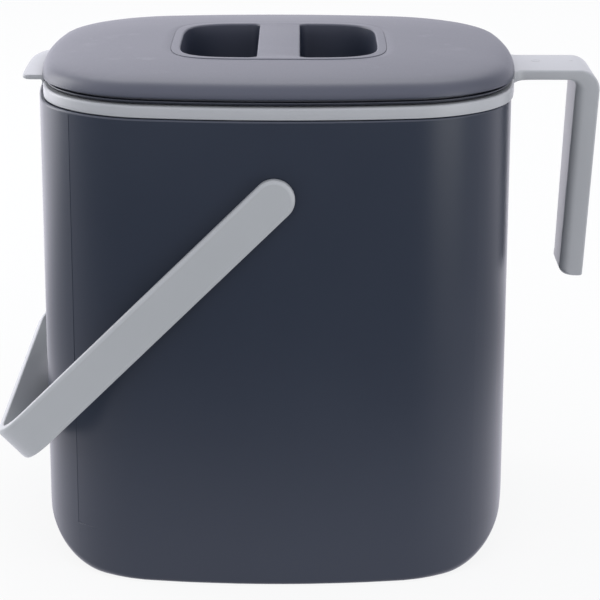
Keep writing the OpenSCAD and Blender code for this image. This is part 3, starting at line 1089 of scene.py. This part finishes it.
def makeCover():
    c = lid
    flangeHole = c["pocketWidth"] / 2 + c["flangeWidth"] + c["fit"]
    rings = []
    layers = {"share": [], "inside": [], "drop": []}

    def add(ring, shares, inside, drop):
        rings.append([(x + shift, y, 0.0) for x, y, _ in ring])
        layers["share"] += shares
        layers["inside"] += [inside] * len(columns)
        layers["drop"] += [drop * mm] * len(columns)

    def addScaled(inset, share, inside):
        add([(x * share, y * share, 0) for x, y, _ in outlineRing(inset, 0)],
            [share] * len(columns), inside, 0.0)

    # top, from the hole out to the edge
    holeShares = sharesOf(squircleRing(flangeHole), c["inset"])
    for outwards, down in c["holeEdge"]:
        inner = squircleRing(flangeHole + outwards)
        add(inner, holeShares, 0.0, down)
    outer, far = outlineRing(c["inset"], 0), c["topFrom"]
    for t in c["topBetween"]:
        ring = [(x1 + (x2 * far - x1) * t, y1 + (y2 * far - y1) * t, 0)
                for (x1, y1, _), (x2, y2, _) in zip(inner, outer)]
        add(ring, sharesOf(ring, c["inset"]), 0.0, 0.0)
    for share in c["topShares"]:
        addScaled(c["inset"], share, 0.0)
    for inwards, down in c["rimEdge"]:
        add(outlineRing(c["inset"] + inwards, 0), [1.0] * len(columns), 0.0, down)
    # underside, from the edge back to the hole
    underInset = c["inset"] + c["wall"]
    for share in c["underShares"]:
        addScaled(underInset, share, 1.0)
    under = squircleRing(pocketHole)
    add(under, sharesOf(under, underInset), 1.0, 0.0)
    for ring in (under, squircleRing(flangeHole)):
        add(ring, holeShares, 0.0, c["flangeThickness"] + c["seatGap"])

    piece = addMesh("lidCover", [p for ring in rings for p in ring],
                    wallFaces(len(rings), len(columns), cyclic=True))
    for name, values in layers.items():
        piece.data.attributes.new(name, "FLOAT", "POINT").data.foreach_set("value", values)
    addTree(piece, crownTree(), {
        "Base Height": c["coverLow"] * mm, "Rise": c["rise"] * mm, "Bow": c["bow"] * mm,
        "Wall": c["wall"] * mm, "Edge Power": c["edgePower"], "Material": lidSlate})
    makePlain(piece, plainCrease)
    for name in layers:
        if name in piece.data.attributes:
            piece.data.attributes.remove(piece.data.attributes[name])
    return settle(piece, "lid", ["lid_cover"], lidSlate)


makeCover()


def makeLiner():
    c = lid
    low, high = c["linerLow"], c["coverLow"]
    top = high - c["seatGap"]
    lipLow, lipHigh = low + c["lipFrom"], low + c["lipTo"]
    face, groove = c["linerInset"], c["linerInset"] + c["grooveDepth"]
    lowGroove = c["linerInset"] + c["lowGrooveDepth"]
    edge = roundedPath([
        (c["linerFrom"], top, 0), (groove, top, c["smallEdge"]),
        (groove, lipHigh, c["smallEdge"]), (face, lipHigh, c["lipEdge"]),
        (face, lipLow, c["lipEdge"]), (lowGroove, lipLow, c["smallEdge"]),
        (lowGroove, low, c["grooveEdge"]), (c["linerFrom"], low, 0)], 4)
    rings = [squircleRing(pocketHole, top, shift)]
    rings += [outlineRing(p.x, p.y, shift) for p in edge]
    rings.append(squircleRing(pocketHole, low, shift))
    piece = loft("lidLiner", rings, cyclic=True, crease=plainCrease)
    return settle(piece, "lid", ["lid_liner"], linerSlate)


makeLiner()


def sweepTree():
    # sweeps a closed section (x inwards, y up) round a closed path that lies flat
    given = newTree("sweepRoundOutline", [("Section", "Object"), ("Section Scale", "Float")])
    path = given.node("GeometryNodeMeshToCurve", inputs={"Mesh": given})
    level = given.node("GeometryNodeSetCurveNormal", {"mode": "Z_UP"}, {"Curve": path})
    section = given.node("GeometryNodeObjectInfo", inputs={"Object": given.other("Section")},
                         output="Geometry")
    size = given.other("Section Scale")
    sized = given.node("GeometryNodeTransform", inputs={
        "Geometry": section,
        "Scale": given.node("ShaderNodeCombineXYZ", inputs={0: size, 1: size, 2: size})})
    profile = given.node("GeometryNodeMeshToCurve", inputs={"Mesh": sized})
    return endTree(given, given.node("GeometryNodeCurveToMesh", inputs={
        "Curve": level, "Profile Curve": profile}))


sweeper = sweepTree()


def loopObject(name, points):
    return addMesh(name, points, [], [(k, (k + 1) % len(points)) for k in range(len(points))])


def sweptRing(name, height, section, material):
    piece = loopObject(name, outlineRing(lid["skirtInset"], height, shift))
    profile = loopObject(name + "Section", [
        (-p.x, -p.y, 0.0) for p in roundedPath(section, 3, closed=True)])
    addTree(piece, sweeper, {"Section": profile, "Section Scale": 1.0, "Material": material})
    makePlain(piece, plainCrease)
    bpy.data.objects.remove(profile)
    return piece


def makeSkirt():
    c = lid
    deep, seat, thick = c["skirtDepth"], c["sealSeat"], c["skirtThickness"]
    base, top = c["linerLow"] - deep, deep - c["skirtGap"]
    sealLow = deep / 2 - c["sealHeight"] / 2
    sealHigh = sealLow + c["sealHeight"]
    skirt = sweptRing("lidSkirt", base, [
        (0, 0, c["skirtEdge"]), (0, sealLow, c["grooveEdge"]), (seat, sealLow, c["smallEdge"]),
        (seat, sealHigh, c["smallEdge"]), (0, sealHigh, c["grooveEdge"]), (0, top, 0),
        (thick, top, 0), (thick, 0, c["skirtEdge"])], linerSlate)
    settle(skirt, "lid", ["lid_skirt"], linerSlate)
    low, back = c["sealInset"], seat - c["sealBackGap"]
    high = c["sealHeight"] - low
    seal = sweptRing("lidSeal", base + sealLow, [
        (-c["sealProud"], c["sealSlope"], c["sealEdge"]), (low, low, c["smallEdge"]),
        (back, low, c["smallEdge"]), (back, high, c["smallEdge"]), (low, high, c["smallEdge"]),
        (-c["sealProud"], c["sealHeight"] - c["sealSlope"], c["sealEdge"])], sealRubber)
    settle(seal, "lid", ["lid_seal"], sealRubber)


makeSkirt()

# grip
grip = {
    "barWidth": 19.4,
    "depth": 25.0,
    "topEdge": 0.9,
    "topEdgeSteps": 7,
    "wallInset": 0.85,
    "wallLevels": (6, 12),
    "floorEdge": 4.0,
    "floorEdgeSteps": 8,
    "floorEdgeWidth": 0.8,  # share of its height
    "cornerRadius": 4.0,
    "cornerRoom": 1.0,
    "overTop": ((0.02, 0.5), (0.0, 0.01)),  # (outwards, up) of the cutter above the top
    "draft": 1.2,
    "outerEdge": 0.18,
    "seam": 0.1,
    "bottomEdge": 3.0,
    "bottomFrom": 6.0,
    "topFrom": 3.0,
    "seatEdge": 0.2,
    "slotPast": 1.0,
    "loopPoints": 240,
}


def pocketOutline(offset, steps=40):
    # one finger hollow, to the right of the bar, grown by offset; corners at the bar rounded
    g, half, power = grip, lid["pocketWidth"] / 2 - grip["wallInset"], lid["pocketPower"]
    bar = g["barWidth"] / 2
    curve = []
    for k in range(-steps, steps + 1):
        angle = quarterTurn * k / steps
        c, s = abs(math.cos(angle)), abs(math.sin(angle))
        x, y = half * c ** (2 / power), math.copysign(half * s ** (2 / power), angle)
        if x > bar + g["cornerRadius"] + g["cornerRoom"]:
            curve.append((x, y, 0))
    top = curve[-1][1]
    corners = [(bar, -top, g["cornerRadius"]), *curve, (bar, top, g["cornerRadius"])]
    # even spacing keeps the grown rings clean
    loop = roundedPath(corners, 8, closed=True)
    loop.append(loop[0])
    lengths = [0.0]
    for a, b in zip(loop[:-1], loop[1:]):
        lengths.append(lengths[-1] + (b - a).length)
    even, k, count = [], 0, g["loopPoints"]
    for step in range(count):
        target = lengths[-1] * step / count
        while lengths[k + 1] < target:
            k += 1
        span = max(lengths[k + 1] - lengths[k], 1e-9)
        even.append(loop[k].lerp(loop[k + 1], (target - lengths[k]) / span))
    grown = []
    for step, p in enumerate(even):
        along = (even[(step + 1) % count] - even[step - 1]).normalized()
        grown.append(p + Vector((along.y, -along.x)) * offset)
    return grown


def hollowLevels(top, floor):
    # (offset, height) of a hollow's rings, from above its round top edge to its floor
    g = grip
    edge, deep = g["topEdge"], g["floorEdge"]
    levels = [(edge + outwards, top + up) for outwards, up in g["overTop"]]
    for k in range(1, g["topEdgeSteps"] + 1):
        angle = quarterTurn * k / g["topEdgeSteps"]
        levels.append((edge * (1 - math.sin(angle)), top - edge * (1 - math.cos(angle))))
    slope = math.tan(math.radians(g["draft"]))
    for down in (*g["wallLevels"], g["depth"] - deep):
        levels.append((-slope * (down - edge), top - down))
    last = levels[-1][0]
    for k in range(1, g["floorEdgeSteps"] + 1):
        angle = quarterTurn * k / g["floorEdgeSteps"]
        levels.append((last - deep * (1 - math.cos(angle)) * g["floorEdgeWidth"],
                       floor + deep * (1 - math.sin(angle))))
    return levels


def makeGrip():
    g, c = grip, lid
    half = c["pocketWidth"] / 2
    outer, flange = half + c["pocketWall"], half + c["flangeWidth"] + c["fit"] - g["seam"]
    top, floor = crown, crown - g["depth"]
    seat, bottom = top - c["flangeThickness"], floor - c["pocketWall"]
    body = roundedPath([
        (outer - g["bottomFrom"], bottom, 0), (outer, bottom, g["bottomEdge"]), (outer, seat, 0),
        (flange, seat, g["seatEdge"]), (flange, top, g["outerEdge"]),
        (flange - g["topFrom"], top, 0)], 5)
    piece = capped("gripInsert", [squircleRing(p.x, p.y, shift) for p in body], plainCrease)
    loops = [(pocketOutline(offset), height) for offset, height in hollowLevels(top, floor)]
    cutters = [capped("hollow", [[(flip * p.x + shift, p.y, height) for p in loop]
                                 for loop, height in loops], plainCrease) for flip in (-1, 1)]
    carve(piece, cutters, "DIFFERENCE", plainCrease)
    # the slot under the bar
    inner = g["barWidth"] / 2 - c["pocketWall"]
    slot = capped("slot", [[(x + shift, y, z) for x, y in (
        (-inner, -half), (inner, -half), (inner, half), (-inner, half))]
        for z in (bottom - g["slotPast"], top - c["pocketWall"])])
    carve(piece, [slot], "DIFFERENCE", plainCrease)
    return settle(piece, "lid", ["grip_insert"], lidSlate)


makeGrip()

# floor, light and camera
studio = {
    "focal": 139.9,
    "sensor": 36.0,
    "cameraAt": (11.4, -1080.2, 421.9),
    "lookAt": (11.4, 0.0, 107.75),
    "roll": 0.13,
    "nearClip": 0.05,  # metres, as are the floor's sizes
    "farClip": 30.0,
    "floorSize": 6.0,
    "floorDrop": 0.0002,
    "floorColour": (0.86, 0.86, 0.87),
    "floorRough": 0.5,
    "roomColour": (0.92, 0.95, 1.0),
    # how white the floor and the room look in reflections
    "floorFar": 0.12,
    "floorNear": 1.6,
    "floorBackLeft": 2.2,
    "floorBackRight": 1.55,
    "mirrorTint": (0.97, 0.95, 1.05),
    "roomFront": 2.5,
    "roomBackLeft": 1.95,
    "roomBackRight": 1.15,
    "roomTop": 2.5,
    "sideShade": 0.55,
    "shadowShare": 0.12,
    "room": 0.85,
    # where one of these passes into the next: on the floor in metres, in the room as the
    # view's direction
    "floorFront": (-0.5, -0.08),
    "floorBack": (0.0, 0.45),
    "leftToRight": (-0.35, 0.35),
    "shadeFrom": (0.23, 0.43),
    "shadeEnds": (0.16, 0.5),
    "roomBack": (-0.2, 0.3),
    "roomUp": (0.6, 0.9),
}
# name, place and target in metres, width, height and power
panels = (
    ("topPanel", (0.0, 0.9, 1.4), (0, 0, 0.12), 1.4, 0.8, 5.0),
    ("leftPanel", (-1.1, 0.5, 0.5), (0, 0, 0.12), 0.6, 1.0, 7.0),
    ("rightPanel", (1.0, -0.7, 0.12), (0, 0, 0.12), 0.6, 0.3, 2.5),
)


def backdropLight(start, share):
    # white to the camera, its own share of white in reflections, nothing for the light it gives
    rays = start.node("ShaderNodeLightPath")
    mirrored = rays.other("Is Glossy Ray").most(rays.other("Is Transmission Ray"))
    seen = rays.other("Is Camera Ray")
    tint = start.node("ShaderNodeMix", {"data_type": "RGBA"}, {
        0: mirrored, 6: (1, 1, 1, 1), 7: (*studio["mirrorTint"], 1)}, output=2)
    return seen.most(mirrored), tint, seen.most(mirrored * share)


def acrossRoom(parts, back, front, backLeft, backRight):
    # a value that changes from the front to the back, and there from left to right
    rear = backLeft + parts.ease(*studio["leftToRight"]) * (backRight - backLeft)
    return front + back * (rear - front)


def whiteToCamera(name):
    # pale floor that shows as plain white behind the object and still takes its shadow
    material = bpy.data.materials.new(name)
    material.use_nodes = True
    tree = material.node_tree
    tree.nodes.clear()
    place = Wire(tree).node("ShaderNodeTexCoord", output="Object")
    parts = place.node("ShaderNodeSeparateXYZ", inputs={0: place})
    along = parts.other(1)
    front = studio["floorFar"] + along.ease(*studio["floorFront"]) * (
        studio["floorNear"] - studio["floorFar"])
    share = acrossRoom(parts, along.ease(*studio["floorBack"]), front,
                       studio["floorBackLeft"], studio["floorBackRight"])
    # darker at some way from the object, except behind it
    away = place.node("ShaderNodeVectorMath", {"operation": "LENGTH"}, {0: place}, output="Value")
    beside = away.ease(*studio["shadeFrom"]) * (1.0 - along.ease(*studio["shadeEnds"]))
    share = share * (1.0 - beside * studio["sideShade"])
    direct, tint, strength = backdropLight(place, share)
    pale = place.node("ShaderNodeBsdfDiffuse", inputs={
        "Color": (*studio["floorColour"], 1.0), "Roughness": studio["floorRough"]})
    bright = place.node("ShaderNodeEmission", inputs={"Color": tint, "Strength": strength})
    mixed = place.node("ShaderNodeMixShader", inputs={
        0: direct * (1.0 - studio["shadowShare"]), 1: pale, 2: bright})
    place.node("ShaderNodeOutputMaterial", inputs={"Surface": mixed})
    return material


def makeStage():
    size, down = studio["floorSize"], -studio["floorDrop"]
    floor = addMesh("stageFloor", [(-size, -size, down), (size, -size, down), (size, size, down),
                                   (-size, size, down)], [(0, 1, 2, 3)], scale=1.0)
    floor.data.materials.append(whiteToCamera("stageWhite"))


def makeWorld():
    world = bpy.data.worlds.new("softRoom")
    bpy.context.scene.world = world
    world.use_nodes = True
    world.node_tree.nodes.clear()
    ahead = Wire(world.node_tree).node("ShaderNodeTexCoord", output="Generated")
    parts = ahead.node("ShaderNodeSeparateXYZ", inputs={0: ahead})
    low = acrossRoom(parts, parts.other(1).ease(*studio["roomBack"]), studio["roomFront"],
                     studio["roomBackLeft"], studio["roomBackRight"])
    share = low + parts.other(2).ease(*studio["roomUp"]) * (studio["roomTop"] - low)
    direct, tint, strength = backdropLight(ahead, share)
    room = ahead.node("ShaderNodeBackground", inputs={
        "Color": (*studio["roomColour"], 1.0), "Strength": studio["room"]})
    white = ahead.node("ShaderNodeBackground", inputs={"Color": tint, "Strength": strength})
    mixed = ahead.node("ShaderNodeMixShader", inputs={0: direct, 1: room, 2: white})
    ahead.node("ShaderNodeOutputWorld", inputs={"Surface": mixed})


def areaLight(name, place, target, width, height, power):
    data = bpy.data.lights.new(name, "AREA")
    data.shape = "RECTANGLE"
    data.size, data.size_y = width, height
    data.energy = power
    light = addObject(name, data)
    light.location = place
    light.rotation_euler = (Vector(target) - Vector(place)).to_track_quat("-Z", "Y").to_euler()


def makeCamera():
    data = bpy.data.cameras.new("photoView")
    data.lens, data.sensor_width = studio["focal"], studio["sensor"]
    data.clip_start, data.clip_end = studio["nearClip"], studio["farClip"]
    camera = addObject("photoView", data)
    place, target = Vector(studio["cameraAt"]) * mm, Vector(studio["lookAt"]) * mm
    turn = (target - place).to_track_quat("-Z", "Y")
    camera.location = place
    camera.rotation_euler = (turn.to_matrix() @ Matrix.Rotation(
        math.radians(studio["roll"]), 3, "Z")).to_euler()
    bpy.context.scene.camera = camera


makeStage()
makeWorld()
for panel in panels:
    areaLight(*panel)
makeCamera()
bpy.context.scene.view_settings.view_transform = "Standard"

print("caddy: all pieces placed")
